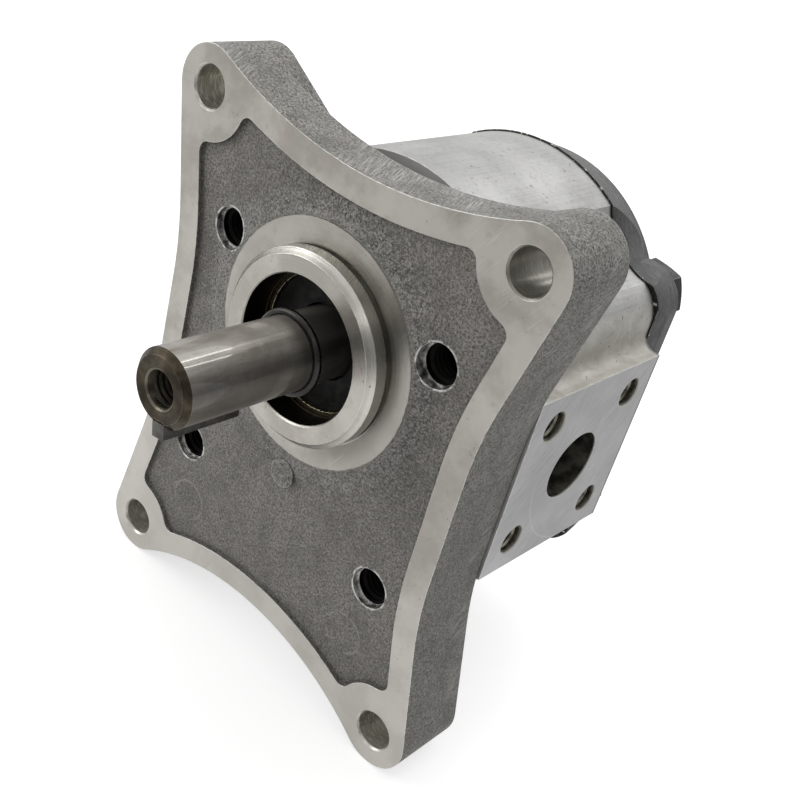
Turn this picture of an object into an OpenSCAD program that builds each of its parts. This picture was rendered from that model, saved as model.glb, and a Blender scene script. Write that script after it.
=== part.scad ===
// External gear pump with a four-hole mounting flange.
// The drive shaft lies along Y and comes out towards -Y. Z is up.
// The origin is where the shaft axis meets the machined mounting face.

/* [Mounting flange] */
// Thickness of the flange from its machined face to the seat of the housing
flange_t = 18; // [16:0.5:24]
// Thickness that is left where the back of the top and bottom edges is relieved
web_t = 12; // [9:0.5:15]
// Height of the machined seat that carries the housing
seat_h = 0.7; // [0.4:0.1:2]
// Distance between the mounting holes from left to right
hole_sx = 81; // [79:0.5:88]
// Distance between the mounting holes from top to bottom
hole_sz = 108; // [104:0.5:116]
// Distance from the drive shaft down to the middle of the mounting holes
hole_drop = 17.5; // [15:0.5:20]
// Diameter of the mounting holes
hole_d = 8.5; // [6.5:0.1:10]
// Radius of the corner lobes
lobe_r = 8.4; // [7.4:0.1:10]
// Width across the straight flanks
waist_w = 83.8; // [82:0.2:90]
// Height of the straight part of each flank
flank_h = 42; // [30:1:50]
// Radius of the curve from each flank to its lobes
flank_blend_r = 80; // [40:5:120]
// Height of the middle of the top edge above the upper mounting holes
top_rise = 0.3; // [-3:0.1:3]
// Height of the middle of the bottom edge above the lower mounting holes
bottom_rise = 4.3; // [0:0.1:7]
// Slope of the arms' edges on the relieved back, in degrees
arm_slope = 30; // [26:1:36]
// Radius of the round hub behind the relieved edges
hub_r = 32; // [28:0.5:34]
// Width of the machined rim round the cast pocket
rim_w = 5.7; // [4:0.1:7]
// Radius of the machined pad round each mounting hole
hole_pad_r = 10.7; // [9:0.1:12]
// Depth of the cast pocket
pocket_d = 1; // [0.4:0.1:2]
// Corner radius of the cast pocket
pocket_corner_r = 2.4; // [1:0.1:3]

/* [Spigot] */
// Diameter of the centring spigot
spigot_d = 40; // [38:0.5:44]
// Height of the spigot above the mounting face
spigot_h = 4.8; // [3:0.1:7]
// Chamfer round the front of the spigot
spigot_chamfer = 1.3; // [0.5:0.1:2]
// Width and depth of the relief groove at the foot of the spigot
spigot_relief = 0.8; // [0.4:0.1:1.2]
// Diameter of the machined ring round the foot of the spigot
base_ring_d = 51; // [47:0.5:56]
// Width of the slope from that ring down to the floor of the cast pocket
foot_slope_w = 6; // [1:0.5:8]

/* [Drive shaft] */
// Diameter of the shaft end
shaft_d = 15; // [12:0.5:16]
// Length of the shaft in front of the mounting face
shaft_reach = 37; // [30:0.5:50]
// Chamfer at the end of the shaft
shaft_chamfer = 1.2; // [0.5:0.1:2]
// Diameter of the journals that run in the bushes
journal_d = 18; // [17:0.5:19]
// Mean diameter of the thread in the shaft end
end_thread_d = 7.2; // [5:0.1:8]
// Depth of the threaded hole in the shaft end
end_thread_depth = 16; // [10:1:22]
// Width of the key
key_w = 3; // [2.5:0.5:5]
// Length of the key
key_l = 18.5; // [12:0.5:24]
// Height of the key above the shaft surface
key_stand = 1.75; // [1:0.05:2.5]
// Depth of the keyway in the shaft
keyway_d = 1.6; // [1.5:0.1:2.4]
// Angle of the key round the shaft from straight down, in degrees
key_angle = 10; // [0:1:90]
// Wire diameter of the snap ring on the shaft
snap_wire_d = 1.7; // [1:0.1:2]
// Distance from the mounting face to the middle of the snap ring
snap_ring_y = 6.5; // [6.2:0.1:9]
// Depth of the snap ring's groove in the shaft
snap_groove_d = 0.4; // [0.2:0.05:0.6]

/* [Shaft seal] */
// Outside diameter of the shaft seal
seal_d = 30; // [28:0.5:32]
// Width of the shaft seal
seal_w = 7; // [6:0.5:7]
// Distance from the mounting face to the retaining ring's groove
clip_y = 2.2; // [1:0.1:3]
// Thickness of the retaining ring
clip_t = 1.2; // [1:0.1:1.5]
// Radial width of the retaining ring inside the bore
clip_w = 0.9; // [0.7:0.1:2]
// Depth of the retaining ring's groove
clip_groove_d = 0.7; // [0.4:0.1:1]

/* [Gears] */
// Distance between the two shafts
shaft_spacing = 30; // [30:0.1:31]
// Number of teeth on each gear
teeth = 12; // [11:1:13]
// Pressure angle in degrees
pressure_angle = 20; // [19:0.5:22]
// Height of the teeth above the pitch circle
addendum = 2.3; // [2:0.05:2.35]
// Depth of the teeth below the pitch circle
dedendum = 2.8; // [2.6:0.05:3]
// Face width of the gears
gear_w = 16; // [12:0.5:20]
// Play between the tooth flanks along the pitch circle
backlash = 0.16; // [0.1:0.02:0.3]
// Play between the gear tips and the housing bores
tip_clearance = 0.1; // [0.05:0.01:0.15]
// Play between the gear faces and the bearing blocks
face_clearance = 0.05; // [0.02:0.01:0.1]

/* [Housing] */
// Length of the housing between the flange and the rear cover
housing_l = 44; // [40:0.5:52]
// Radius of the round top and bottom of the housing
dome_r = 36.4; // [35:0.1:38]
// Width across the two port faces
port_face_w = 85; // [84:0.5:92]
// Height of the port faces
port_face_h = 43; // [41:0.5:46]
// Width across the bolt corners
corner_w = 76; // [75:0.2:80]
// Height across the bolt corners
corner_h = 70.6; // [70:0.2:73]
// Radius of the bolt corners
corner_r = 9; // [4:0.1:10]
// Distance from the shaft axes to the floor of the valleys beside the round ends
valley_floor_r = 33.7; // [33:0.1:35.5]
// Radius of those valleys
valley_r = 17; // [12:0.5:20]
// Radius of the hollow between the bolt corners and the port faces
port_shoulder_r = 3; // [1.5:0.1:3.5]

/* [Ports] */
// Diameter of the pressure port
pressure_port_d = 16; // [14.5:0.5:18]
// Diameter of the suction port
suction_port_d = 20; // [16:0.5:22]
// Depth of both ports
port_depth = 14; // [8:0.5:16]
// Diameter of the passages between the ports and the gears
passage_d = 14; // [10:0.5:14]
// Pitch circle of the four port screws
port_pcd = 40; // [36:0.5:42]
// Nominal diameter of the port screw threads
port_thread_d = 6; // [5:0.5:7]
// Depth of the port screw holes
port_thread_depth = 11; // [8:0.5:12]

/* [Rear cover] */
// Thickness of the rear cover
cover_t = 13; // [11:0.5:16]
// Rounding of the rear cover's back edge
cover_edge_r = 2; // [1:0.1:4]
// How far the rear cover stands out past the housing
cover_lip = 0.4; // [0:0.1:1]
// How much narrower the round ends of the cover are at the back, on the radius
cover_draft = 3.2; // [0:0.1:5]
// How much narrower the sides and corners of the cover are at the back, on each side
cover_side_inset = 0.7; // [0:0.1:1.5]
// Radius of the cover's bolt corners at the back
cover_corner_r = 8.8; // [6:0.1:10]

/* [Tie bolts and dowels] */
// Nominal diameter of the tie bolts
bolt_d = 8; // [6:0.5:9]
// Length of the tie bolts under the head
bolt_l = 65; // [63:0.5:70]
// Distance between the tie bolts from left to right
bolt_sx = 57; // [56:0.5:60]
// Distance between the tie bolts from top to bottom
bolt_sz = 53; // [51:0.5:56]
// Width across the flats of the bolt heads
head_af = 13; // [11:0.5:15]
// Height of the bolt heads
head_h = 5.3; // [4:0.1:6.5]
// Angle at which the bolt heads came to rest, in degrees
head_turn = -9; // [-30:1:30]
// Diameter of the locating dowels
dowel_d = 6; // [5:0.5:7]
// Length of the locating dowels
dowel_l = 12; // [8:0.5:14]
// Distance between the two dowels of each joint
dowel_span = 62; // [60:0.5:66]

/* [Bearings and inner seals] */
// Wall thickness of the bushes
bush_wall = 1; // [0.8:0.1:1.5]
// Distance from each end of a bush to the face of its bearing block
bush_inset = 0.6; // [0.3:0.1:2]
// Play between the journals and the bushes, on the radius
journal_clearance = 0.03; // [0.02:0.01:0.06]
// Radius of the middle of the seals round the gear bores
face_seal_r = 20.6; // [20:0.1:22]
// Width of the seals round the gear bores
face_seal_w = 2.2; // [1.5:0.1:2.6]
// Depth of the grooves for the seals round the gear bores
face_seal_d = 1.5; // [1:0.1:2]
// Depth of the grooves for the seals on the bearing blocks
block_seal_d = 2; // [1:0.1:2.5]
// Radial width of the seals on the bearing blocks
block_seal_w = 1.2; // [0.8:0.05:1.4]
// Radial width of the backup strips beside those seals
backup_w = 1.1; // [0.8:0.05:1.2]
// Wall of the bearing blocks outside those seals
block_rim_w = 1.9; // [1.5:0.05:2.2]

/* [Hidden] */
$fn = 96;
fit = 0.01;
seat_gap = 0.05;
cut = 1;

hole_hx = hole_sx / 2;
hole_hz = hole_sz / 2;
waist_hx = waist_w / 2;
flank_hz = flank_h / 2;
spigot_r = spigot_d / 2;
base_ring_r = base_ring_d / 2;
shaft_r = shaft_d / 2;
journal_r = journal_d / 2;
seal_r = seal_d / 2;
thread_lead_in = 0.1;
shaft_pass_clearance = 0.8;
seal_lip_clearance = 0.03;
mouth_chamfer = 0.35;
hole_chamfer = 0.4;
end_thread_chamfer = 0.3;
gap_under_key = 0.35;
seat_inset = 1.5;

housing_y0 = flange_t;
housing_y1 = flange_t + housing_l;
cover_y1 = housing_y1 + cover_t;
mid_y = (housing_y0 + housing_y1) / 2;
gear_y0 = mid_y - gear_w / 2 + face_clearance;
gear_y1 = mid_y + gear_w / 2 - face_clearance;
block_l = (housing_l - gear_w) / 2;
mid_z = -shaft_spacing / 2;

pitch_r = shaft_spacing / 2;
base_r = pitch_r * cos(pressure_angle);
tip_r = pitch_r + addendum;
root_r = pitch_r - dedendum;
gear_bore_r = tip_r + tip_clearance;
tooth_pitch = 360 / teeth;

bush_r = journal_r + journal_clearance + bush_wall;
face_seal_half = face_seal_w / 2;
block_seal_r1 = gear_bore_r - seat_gap - block_rim_w;
block_seal_r0 = block_seal_r1 - block_seal_w;
backup_r0 = block_seal_r0 - backup_w;
strip_gap = 0.04;
seal_opening_x = -8;

bolt_r = bolt_d / 2;
bolt_hole_r = bolt_r + 0.3;
bolt_hole_mouth_r = bolt_r + 0.4;
bolt_hole_mouth_l = 1.4;
casting_disc_r = 3.2;
casting_disc_h = 0.7;
casting_disc_z = -31.2;
bolt_tip_bevel = 0.5;
valley_angle = 44.7;
cover_front_corner_r = 4.5;
cover_corner_draft = 1.6;
port_thread_chamfer = 0.6;
seal_pocket_y = clip_y + clip_t + 0.1;
seal_y1 = seal_pocket_y + seal_w;

// Placing and basic solids

// A flat outline drawn in x and z, standing between two places on Y
module along_y(y0, y1) {
    translate([0, y1, 0]) rotate([90, 0, 0]) linear_extrude(y1 - y0) children();
}

// A round bar along Y, or a cone where the second radius differs
module rod(r, y0, y1, r_end = undef) {
    translate([0, y1, 0]) rotate([90, 0, 0])
        cylinder(r1 = is_undef(r_end) ? r : r_end, r2 = r, h = y1 - y0);
}

// A profile of [radius, y] points turned about the Y axis
module turned(points) {
    rotate([-90, 0, 0]) rotate_extrude() polygon(points);
}

// Children at the four mounting holes
module at_mounting_holes() {
    for (mx = [-1, 1], mz = [-1, 1])
        translate([mx * hole_hx, 0, mz * hole_hz - hole_drop]) children();
}

// Children at the four tie bolts
module at_tie_bolts() {
    for (mx = [-1, 1], mz = [-1, 1])
        translate([mx * bolt_sx / 2, 0, mid_z + mz * bolt_sz / 2]) children();
}

// Children on both shaft axes
module at_shafts() {
    for (z = [0, -shaft_spacing]) translate([0, 0, z]) children();
}

// Two joined circles round the shaft axes
module twin_circles(r) {
    for (z = [0, -shaft_spacing]) translate([0, z]) circle(r);
}

// The same with straight sides
module stadium(r) {
    twin_circles(r);
    translate([-r, -shaft_spacing]) square([2 * r, shaft_spacing]);
}

module stadium_ring(r_mid, half_w) {
    difference() {
        stadium(r_mid + half_w);
        stadium(r_mid - half_w);
    }
}

// Mounting flange outline, drawn about the middle of the mounting holes

// Radius of an edge that touches two lobes and passes a given height above the hole line
function dip_radius(rise) =
    (hole_hx * hole_hx + rise * rise - lobe_r * lobe_r) / (2 * (lobe_r - rise));

top_dip_r = dip_radius(top_rise);
bottom_dip_r = dip_radius(-bottom_rise);

// The slanted part of the flank touches the lobe on its outer side
flank_dx = hole_hx - waist_hx;
flank_dz = hole_hz - flank_hz;
flank_lean = atan2(flank_dx, flank_dz) + asin(lobe_r / norm([flank_dx, flank_dz]));
blend_l = flank_blend_r * tan(flank_lean / 2);
blend_z = flank_hz - blend_l;

function touch_on_dip(dip_r, rise) =
    let (v = [-hole_hx, rise + dip_r]) [hole_hx, hole_hz] + lobe_r * v / norm(v);

right_upper = [
    [waist_hx, blend_z],
    [waist_hx, flank_hz] + blend_l * [sin(flank_lean), cos(flank_lean)],
    [hole_hx, hole_hz] + lobe_r * [cos(flank_lean), -sin(flank_lean)],
    [hole_hx, hole_hz]
];
top_touch = touch_on_dip(top_dip_r, top_rise);
bottom_touch = touch_on_dip(bottom_dip_r, -bottom_rise);

function flip_z(p) = [p[0], -p[1]];
function flip_x(p) = [-p[0], p[1]];
function reversed(list) = [for (i = [len(list) - 1 : -1 : 0]) list[i]];

right_side = concat(
    [flip_z(bottom_touch)],
    [for (p = reversed(right_upper)) flip_z(p)],
    right_upper,
    [top_touch]
);

module flange_outline() {
    difference() {
        union() {
            polygon(concat(right_side, [for (p = reversed(right_side)) flip_x(p)]));
            for (mx = [-1, 1], mz = [-1, 1])
                translate([mx * hole_hx, mz * hole_hz]) circle(lobe_r);
        }
        translate([0, hole_hz + top_rise + top_dip_r]) circle(top_dip_r, $fn = 240);
        translate([0, bottom_rise - hole_hz - bottom_dip_r]) circle(bottom_dip_r, $fn = 200);
        for (mx = [-1, 1], mz = [-1, 1])
            translate([mx * (waist_hx + flank_blend_r), mz * blend_z])
                circle(flank_blend_r, $fn = 240);
    }
}

// The triangle that is relieved behind the top edge, above a round hub
arm_foot = [-hole_hx, hole_hz] + lobe_r * [sin(arm_slope), cos(arm_slope)];
notch_tip_z = arm_foot[1] + arm_foot[0] * tan(arm_slope);
notch_top_z = hole_hz + lobe_r + cut;

module relief_notch(hub_z) {
    difference() {
        polygon([
            arm_foot, [0, notch_tip_z], flip_x(arm_foot),
            [-arm_foot[0], notch_top_z], [arm_foot[0], notch_top_z]
        ]);
        translate([0, hub_z]) circle(hub_r);
    }
}

module flange_back_outline() {
    difference() {
        flange_outline();
        relief_notch(hole_drop);
        mirror([0, 1]) relief_notch(shaft_spacing - hole_drop);
    }
}

module pocket_outline() {
    offset(r = pocket_corner_r, $fn = 32) offset(delta = -pocket_corner_r) difference() {
        offset(delta = -rim_w) flange_outline();
        for (mx = [-1, 1], mz = [-1, 1])
            translate([mx * hole_hx, mz * hole_hz]) circle(hole_pad_r, $fn = 64);
    }
}

// Housing outline, drawn in x and z

module housing_outline(inset = 0) {
    face_x = port_face_w / 2 - inset;
    face_z = port_face_h / 2 - inset;
    domes_and_corners(inset, corner_r);
    translate([0, mid_z]) {
        square([2 * face_x, 2 * face_z], center = true);
        for (mx = [0, 1], mz = [0, 1])
            mirror([mx, 0]) mirror([0, mz]) shoulder(corner_w / 2 - inset, face_z);
    }
}

// The outline without its port faces, with a valley between each dome and bolt corner
module domes_and_corners(inset, r) {
    valley = (valley_floor_r + valley_r) * [sin(valley_angle), cos(valley_angle)];
    difference() {
        union() {
            twin_circles(dome_r - inset);
            translate([0, mid_z])
                round_rectangle(corner_w - 2 * inset, corner_h - 2 * inset, r);
        }
        for (mx = [0, 1], mz = [0, 1])
            translate([0, mid_z]) mirror([mx, 0]) mirror([0, mz])
                translate([valley[0], valley[1] + shaft_spacing / 2]) circle(valley_r + inset);
    }
}

module round_rectangle(w, h, r) {
    square([w - 2 * r, h], center = true);
    square([w, h - 2 * r], center = true);
    for (mx = [-1, 1], mz = [-1, 1])
        translate([mx * (w / 2 - r), mz * (h / 2 - r)]) circle(r);
}

// The hollow between a side of the housing and the top of a port face
module shoulder(x, z) {
    r = port_shoulder_r;
    difference() {
        translate([x - r, z - r]) square([2 * r, 2 * r]);
        translate([x + r, z + r]) circle(r);
    }
}

// Fixed parts

module front_flange() {
    color([0.62, 0.61, 0.58]) difference() {
        union() {
            translate([0, 0, -hole_drop]) {
                along_y(0, web_t) flange_outline();
                along_y(web_t, flange_t - seat_h) flange_back_outline();
            }
            along_y(web_t, flange_t) intersection() {
                translate([0, -hole_drop]) flange_back_outline();
                housing_outline(seat_inset);
            }
            translate([0, 0, casting_disc_z])
                rod(casting_disc_r, pocket_d - casting_disc_h, pocket_d + cut);
            turned([
                [0, cut], [spigot_r - spigot_relief, cut],
                [spigot_r - spigot_relief, -spigot_relief], [spigot_r, -spigot_relief],
                [spigot_r, spigot_chamfer - spigot_h], [spigot_r - spigot_chamfer, -spigot_h],
                [0, -spigot_h]
            ]);
        }
        difference() {
            translate([0, 0, -hole_drop]) along_y(-cut, pocket_d) pocket_outline();
            rod(base_ring_r, -spigot_h - cut, pocket_d + cut);
            rod(base_ring_r, 0, pocket_d + cut, base_ring_r + foot_slope_w * (1 + cut / pocket_d));
            translate([0, 0, casting_disc_z])
                rod(casting_disc_r, pocket_d - casting_disc_h, pocket_d + cut);
        }
        at_mounting_holes() {
            rod(hole_d / 2, -cut, flange_t + cut);
            rod(hole_d / 2 + hole_chamfer + cut, -cut, hole_chamfer, hole_d / 2);
        }
        at_tie_bolts() {
            rod(bolt_r, 0, flange_t + cut);
            rod(bolt_hole_mouth_r, 0, pocket_d + bolt_hole_mouth_l);
        }
        rod(seal_r, -spigot_h - cut, seal_y1 + thread_lead_in);
        rod(seal_r + mouth_chamfer + cut, -spigot_h - cut, mouth_chamfer - spigot_h, seal_r);
        rod(seal_r + clip_groove_d, clip_y, clip_y + clip_t + thread_lead_in);
        rod(shaft_r + shaft_pass_clearance, 0, flange_t + cut);
        dowel_holes(flange_t - dowel_l / 2 - thread_lead_in, flange_t + cut);
    }
}

module dowel_holes(y0, y1) {
    for (mx = [-1, 1])
        translate([mx * dowel_span / 2, 0, mid_z]) rod(dowel_d / 2 + fit, y0, y1);
}

// The threaded holes and the bore of one port, opening towards +X
module port(d) {
    face_x = port_face_w / 2;
    screw = port_pcd / 2 * sin(45);
    translate([0, mid_y, mid_z]) rotate([0, 90, 0]) {
        cylinder(d = passage_d, h = face_x - port_depth + fit);
        translate([0, 0, face_x - port_depth]) cylinder(d = d, h = port_depth + cut);
        for (my = [-1, 1], mz = [-1, 1]) translate([mz * screw, my * screw, 0]) {
            translate([0, 0, face_x - port_thread_depth])
                cylinder(d = port_thread_d, h = port_thread_depth + cut);
            translate([0, 0, face_x - port_thread_chamfer])
                cylinder(d1 = port_thread_d, d2 = port_thread_d + 2 * (port_thread_chamfer + cut),
                    h = port_thread_chamfer + cut);
        }
    }
}

module gear_housing() {
    color([0.76, 0.76, 0.75]) difference() {
        along_y(housing_y0, housing_y1) housing_outline();
        at_shafts() rod(gear_bore_r, housing_y0 - cut, housing_y1 + cut);
        port(pressure_port_d);
        mirror([1, 0, 0]) port(suction_port_d);
        at_tie_bolts() rod(bolt_hole_r, housing_y0 - cut, housing_y1 + cut);
        along_y(housing_y0 - cut, housing_y0 + face_seal_d)
            stadium_ring(face_seal_r, face_seal_half + seat_gap);
        along_y(housing_y1 - face_seal_d, housing_y1 + cut)
            stadium_ring(face_seal_r, face_seal_half + seat_gap);
        dowel_holes(housing_y0 - cut, housing_y0 + dowel_l / 2 + thread_lead_in);
        dowel_holes(housing_y1 - dowel_l / 2 - thread_lead_in, housing_y1 + cut);
    }
}

// Half the cross-section of a slab with a rounded back edge, wider at its front by the draft
module edge_profile(half_w, h, edge, draft) {
    square([half_w - edge, h]);
    polygon([[0, 0], [half_w + draft, 0], [half_w, h - edge], [0, h - edge]]);
    intersection() {
        translate([half_w - edge, h - edge]) circle(edge);
        square([half_w, h]);
    }
}

module rounded_disc(r, h, edge, draft) {
    rotate([-90, 0, 0]) rotate_extrude() edge_profile(r, h, edge, draft);
}

// A slab with round corners, w wide and tall at its back
module rounded_slab(w, tall, r, h, edge, draft) {
    for (mx = [-1, 1], mz = [-1, 1])
        translate([mx * (w / 2 - r), 0, mz * (tall / 2 - r)]) rounded_disc(r, h, edge, draft);
    for (mx = [0, 1]) mirror([mx, 0, 0]) {
        linear_extrude(tall - 2 * r, center = true) edge_profile(w / 2, h, edge, draft);
        rotate([0, -90, 0]) linear_extrude(w - 2 * r, center = true)
            edge_profile(tall / 2, h, edge, draft);
        rotate([0, 90, 0]) linear_extrude(w - 2 * r, center = true)
            edge_profile(tall / 2, h, edge, draft);
    }
}

module rear_cover() {
    side = 2 * (cover_lip - cover_side_inset);
    color([0.40, 0.40, 0.40]) difference() {
        intersection() {
            translate([0, housing_y1, 0]) union() {
                at_shafts()
                    rounded_disc(dome_r + cover_lip - cover_draft, cover_t, cover_edge_r, cover_draft);
                translate([0, 0, mid_z]) rounded_slab(corner_w + side, corner_h + side,
                    cover_corner_r, cover_t, cover_edge_r, cover_corner_draft);
            }
            along_y(housing_y1, cover_y1 + cut) domes_and_corners(-cover_lip, cover_front_corner_r);
        }
        at_tie_bolts() rod(bolt_hole_r, housing_y1 - cut, cover_y1 + cut);
        dowel_holes(housing_y1 - cut, housing_y1 + dowel_l / 2 + thread_lead_in);
    }
}

module dowels(y_joint) {
    r = dowel_d / 2;
    half = dowel_l / 2;
    bevel = 0.5;
    color([0.66, 0.66, 0.68])
        for (mx = [-1, 1]) translate([mx * dowel_span / 2, y_joint, mid_z]) turned([
            [0, -half], [r - bevel, -half], [r, bevel - half],
            [r, half - bevel], [r - bevel, half], [0, half]
        ]);
}
module front_dowels() { dowels(housing_y0); }
module rear_dowels() { dowels(housing_y1); }

// One hexagon-head bolt with its head seated on the rear cover
module tie_bolt() {
    head_y1 = cover_y1 + head_h;
    tip_y = cover_y1 - bolt_l;
    flat_r = 0.47 * head_af;
    union() {
        rod(bolt_r - fit, tip_y + bolt_tip_bevel, cover_y1 + cut);
        rod(bolt_r - fit - bolt_tip_bevel, tip_y, tip_y + bolt_tip_bevel, bolt_r - fit);
        intersection() {
            along_y(cover_y1, head_y1) rotate(head_turn) circle(head_af / sqrt(3), $fn = 6);
            rod(flat_r + head_h * sqrt(3), cover_y1, head_y1, flat_r);
        }
    }
}

module tie_bolts() {
    color([0.34, 0.35, 0.36]) at_tie_bolts() tie_bolt();
}

// Bearing blocks, bushes and inner seals

// The groove shape of the block seals, open on the suction side
module block_ring(r0, r1) {
    difference() {
        twin_circles(r1);
        for (z = [0, -shaft_spacing]) translate([0, z]) circle(r0);
        translate([-2 * r1, -shaft_spacing - 2 * r1])
            square([2 * r1 + seal_opening_x, shaft_spacing + 4 * r1]);
    }
}

// The side at y_out faces a cover, and the side at y_in faces the gears
module bearing_block(y_in, y_out) {
    y0 = min(y_in, y_out);
    y1 = max(y_in, y_out);
    groove_y = y_out < y_in ? [y0 - cut, y0 + block_seal_d] : [y1 - block_seal_d, y1 + cut];
    color([0.72, 0.70, 0.62]) difference() {
        along_y(y0, y1) twin_circles(gear_bore_r - seat_gap);
        at_shafts() rod(bush_r + fit, y0 - cut, y1 + cut);
        along_y(groove_y[0], groove_y[1]) block_ring(backup_r0 - strip_gap, block_seal_r1 + strip_gap);
    }
}
module front_bearing_block() { bearing_block(mid_y - gear_w / 2, housing_y0); }
module rear_bearing_block() { bearing_block(mid_y + gear_w / 2, housing_y1); }

module bush(z, y0) {
    color([0.66, 0.50, 0.30]) translate([0, 0, z]) difference() {
        rod(bush_r, y0 + bush_inset, y0 + block_l - bush_inset);
        rod(journal_r + journal_clearance, y0, y0 + block_l);
    }
}
module drive_front_bush() { bush(0, housing_y0); }
module drive_rear_bush() { bush(0, housing_y1 - block_l); }
module driven_front_bush() { bush(-shaft_spacing, housing_y0); }
module driven_rear_bush() { bush(-shaft_spacing, housing_y1 - block_l); }

module housing_seal(y0) {
    color([0.10, 0.10, 0.10])
        along_y(y0, y0 + face_seal_d) stadium_ring(face_seal_r, face_seal_half);
}
module front_housing_seal() { housing_seal(housing_y0); }
module rear_housing_seal() { housing_seal(housing_y1 - face_seal_d); }

module front_block_seal() {
    color([0.10, 0.10, 0.10])
        along_y(housing_y0, housing_y0 + block_seal_d) block_ring(block_seal_r0, block_seal_r1);
}
module rear_block_seal() {
    color([0.10, 0.10, 0.10])
        along_y(housing_y1 - block_seal_d, housing_y1) block_ring(block_seal_r0, block_seal_r1);
}
module front_backup_strips() {
    color([0.88, 0.86, 0.80])
        along_y(housing_y0, housing_y0 + block_seal_d) block_ring(backup_r0, block_seal_r0 - strip_gap);
}
module rear_backup_strips() {
    color([0.88, 0.86, 0.80])
        along_y(housing_y1 - block_seal_d, housing_y1) block_ring(backup_r0, block_seal_r0 - strip_gap);
}

// Shaft seal

seal_case_w = 1;
seal_face_t = 1.2;
seal_face_r = shaft_r + 0.6 * (seal_r - shaft_r);
lip_y = seal_pocket_y + seal_w / 2;
lip_back_y = lip_y + 0.19 * seal_w;
lip_back_w = 0.3 * (seal_r - shaft_r);
spring_wire_d = 1.2;
spring_r = shaft_r + lip_back_w + 0.1;

module shaft_seal_case() {
    color([0.12, 0.12, 0.12]) turned([
        [seal_r - fit, seal_pocket_y], [seal_r - fit, seal_y1], [seal_r - seal_case_w, seal_y1],
        [seal_r - seal_case_w, seal_pocket_y + seal_face_t], [seal_face_r, seal_pocket_y + seal_face_t],
        [seal_face_r, seal_pocket_y]
    ]);
}

// The dust lip at the front and the sealing lip behind it, which the spring holds down
module shaft_seal_lip() {
    lip_r = shaft_r + seal_lip_clearance;
    dust_lip_r = lip_r + 0.05 * (seal_r - shaft_r);
    hollow_r = lip_r + 0.12 * (seal_r - shaft_r);
    color([0.07, 0.07, 0.07]) difference() {
        turned([
            [seal_face_r - fit, seal_pocket_y], [seal_face_r - fit, seal_pocket_y + seal_face_t],
            [lip_r + lip_back_w, seal_pocket_y + 2 * seal_face_t], [lip_r + lip_back_w, lip_back_y],
            [hollow_r, lip_back_y], [lip_r, lip_y],
            [hollow_r, seal_pocket_y + seal_face_t], [dust_lip_r, seal_pocket_y]
        ]);
        spring_ring(spring_wire_d / 2 + fit);
    }
}

module spring_ring(wire_r) {
    translate([0, lip_y, 0]) rotate([-90, 0, 0])
        rotate_extrude() translate([spring_r, 0]) circle(wire_r, $fn = 32);
}

module seal_garter_spring() {
    color([0.70, 0.70, 0.70]) spring_ring(spring_wire_d / 2);
}

// A triangle that opens a ring downwards, with its tip on the shaft axis
module ring_gap(half_angle, reach) {
    polygon([
        [0, 0], reach * [sin(half_angle), -cos(half_angle)],
        reach * [-sin(half_angle), -cos(half_angle)]
    ]);
}

// The retaining ring is open behind the shaft, with two eyes for the pliers
module seal_retaining_ring() {
    gap_half = 16;
    eye_angle = 21;
    eye_r = 1.6;
    eye_hole_r = 0.8;
    inner_r = seal_r - clip_w;
    color([0.62, 0.52, 0.34]) along_y(clip_y, clip_y + clip_t) rotate(-48) difference() {
        union() {
            difference() {
                circle(seal_r + clip_groove_d - 0.1);
                circle(inner_r);
                ring_gap(gap_half, 2 * seal_r);
            }
            for (mx = [-1, 1])
                translate(inner_r * [mx * sin(eye_angle), -cos(eye_angle)]) circle(eye_r);
        }
        for (mx = [-1, 1])
            translate(inner_r * [mx * sin(eye_angle), -cos(eye_angle)]) circle(eye_hole_r);
    }
}

// Gears and shafts

function involute(a) = tan(a) * 180 / PI - a;

// Half the angle that a tooth fills at radius r, with straight flanks below the base circle
half_tooth = 90 / teeth - backlash / pitch_r * 45 / PI;
function tooth_half_angle(r) =
    half_tooth + involute(pressure_angle) - involute(acos(base_r / max(r, base_r)));

flank_steps = 6;
root_relief = 0.5;
root_mid_r = (root_r + base_r) / 2;
foot_angle = tooth_half_angle(base_r);
half_tooth_profile = concat(
    [[root_r, foot_angle + 2.4], [root_r + 0.25, foot_angle + 0.5], [root_mid_r, foot_angle - root_relief]],
    [for (i = [0 : flank_steps]) let (r = base_r + (tip_r - base_r) * i / flank_steps)
        [r, tooth_half_angle(r)]]
);

module gear_outline(phase) {
    polygon([
        for (t = [0 : teeth - 1])
            let (a = phase + t * tooth_pitch)
                for (p = concat(
                    [for (q = half_tooth_profile) [q[0], -q[1]]],
                    reversed(half_tooth_profile)))
                    p[0] * [sin(a + p[1]), -cos(a + p[1])]
    ]);
}

// A gear with its two journals
module gear_on_journals(phase, y0, y1) {
    end_bevel = 0.8;
    along_y(gear_y0, gear_y1) gear_outline(phase);
    turned([
        [0, y0], [journal_r - end_bevel, y0], [journal_r, y0 + end_bevel],
        [journal_r, y1 - end_bevel], [journal_r - end_bevel, y1], [0, y1]
    ]);
}

shaft_end_y = -shaft_reach;
journal_end_gap = 0.6;
snap_ring_r = shaft_r - snap_groove_d + snap_wire_d / 2;

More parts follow.
